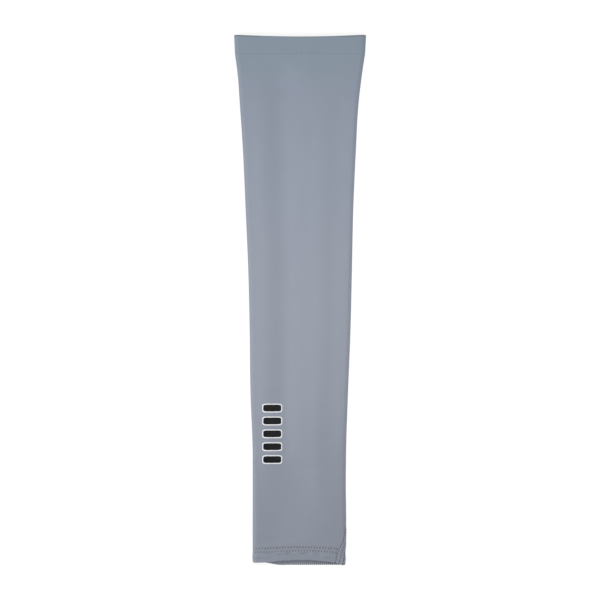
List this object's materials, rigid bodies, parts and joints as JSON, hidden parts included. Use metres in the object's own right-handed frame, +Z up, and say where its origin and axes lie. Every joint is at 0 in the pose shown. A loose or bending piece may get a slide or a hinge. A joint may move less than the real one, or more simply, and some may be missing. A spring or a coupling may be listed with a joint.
{
  "type": "arm sleeve",
  "caption": "Tapered stretch-knit arm sleeve laid flat, hollow and open at both ends, with a doubled upper band, a stitched wrist hem and a flat lengthwise seam.",
  "frame": {"origin": "middle of the sleeve's length and width, on the surface it lies on", "axes": "+X across the sleeve to the side of the seam, +Y along it from the wrist to the upper arm, +Z up out of the front layer"},
  "size_m": [0.105, 0.4212, 0.0091],
  "materials": {
    "body_knit": "fine warp-knit stretch cloth, grey-blue, matt with a faint sheen",
    "band_knit": "the same knit doubled, slightly darker",
    "hem_knit": "the same knit turned up and coverstitched",
    "seam_thread": "flat overlapped seam covered with fine polyester thread"
  },
  "bodies": {
    "root": {"sleeve_body": "body_knit", "upper_band": "band_knit", "wrist_hem": "hem_knit", "flatlock_seam": "seam_thread"}
  },
  "joints": []
}
